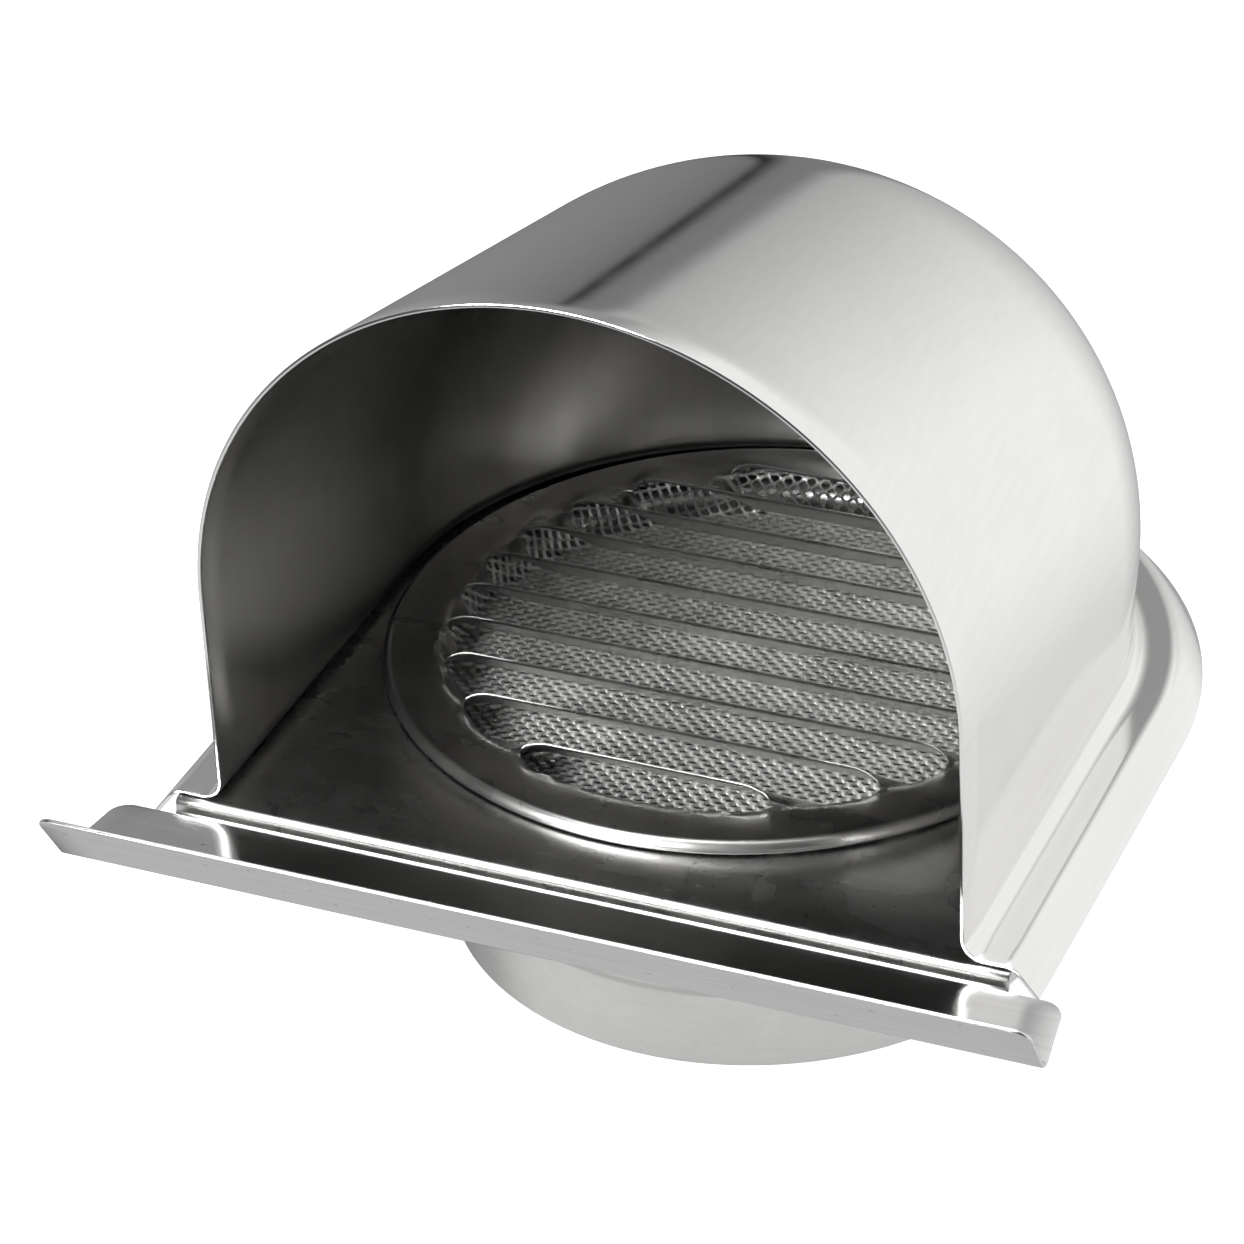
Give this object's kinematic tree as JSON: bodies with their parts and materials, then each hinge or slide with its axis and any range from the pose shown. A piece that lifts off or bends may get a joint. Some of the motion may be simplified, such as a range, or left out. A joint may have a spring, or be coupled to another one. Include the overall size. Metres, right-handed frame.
{
  "type": "cowl vent",
  "caption": "Stainless hooded vent cap: a domed hood over a louvred, screened duct spigot, with a drip lip under its mouth and spring clips that grip the duct.",
  "frame": {"origin": "middle of the bounding box at the end of the duct spigot, where the part stands", "axes": "+Z out of the duct towards the hood, -Y out of the hood's mouth, X along the drip lip"},
  "size_m": [0.152, 0.1602, 0.1389],
  "materials": {
    "polished_steel": "bright polished stainless sheet with faint polishing lines",
    "satin_steel": "mill-finish stainless sheet, slightly duller than the hood",
    "screen_wire": "plain expanded stainless mesh, its strands leaning",
    "spring_steel": "stainless spring strip and rivets",
    "foam": "closed-cell black foam, dull"
  },
  "bodies": {
    "vent": {"hood_shell": "polished_steel", "base_plate": "satin_steel", "louvre_disc": "satin_steel", "insect_screen": "screen_wire", "screen_ring": "screen_wire", "duct_spigot": "satin_steel", "wall_gasket": "foam", "drip_lip": "polished_steel", "clip_rivet_1a": "spring_steel", "clip_rivet_1b": "spring_steel", "clip_rivet_2a": "spring_steel", "clip_rivet_2b": "spring_steel", "clip_rivet_3a": "spring_steel", "clip_rivet_3b": "spring_steel", "clip_rivet_4a": "spring_steel", "clip_rivet_4b": "spring_steel"},
    "clip_1": {"spring_clip_1": "spring_steel"},
    "clip_2": {"spring_clip_2": "spring_steel"},
    "clip_3": {"spring_clip_3": "spring_steel"},
    "clip_4": {"spring_clip_4": "spring_steel"}
  },
  "joints": [
    {"name": "clip_1_flex", "type": "hinge", "parent": "vent", "child": "clip_1", "pos_m": [0.03514, 0.04549, 0.0218], "axis": [0.7071, -0.7071, 0], "range_deg": [0, 8], "stiffness_Nm_per_rad": 0.5},
    {"name": "clip_2_flex", "type": "hinge", "parent": "vent", "child": "clip_2", "pos_m": [-0.03514, 0.04549, 0.0218], "axis": [0.7071, 0.7071, 0], "range_deg": [0, 8], "stiffness_Nm_per_rad": 0.5},
    {"name": "clip_3_flex", "type": "hinge", "parent": "vent", "child": "clip_3", "pos_m": [-0.03514, -0.0248, 0.0218], "axis": [-0.7071, 0.7071, 0], "range_deg": [0, 8], "stiffness_Nm_per_rad": 0.5},
    {"name": "clip_4_flex", "type": "hinge", "parent": "vent", "child": "clip_4", "pos_m": [0.03514, -0.0248, 0.0218], "axis": [-0.7071, -0.7071, 0], "range_deg": [0, 8], "stiffness_Nm_per_rad": 0.5}
  ]
}
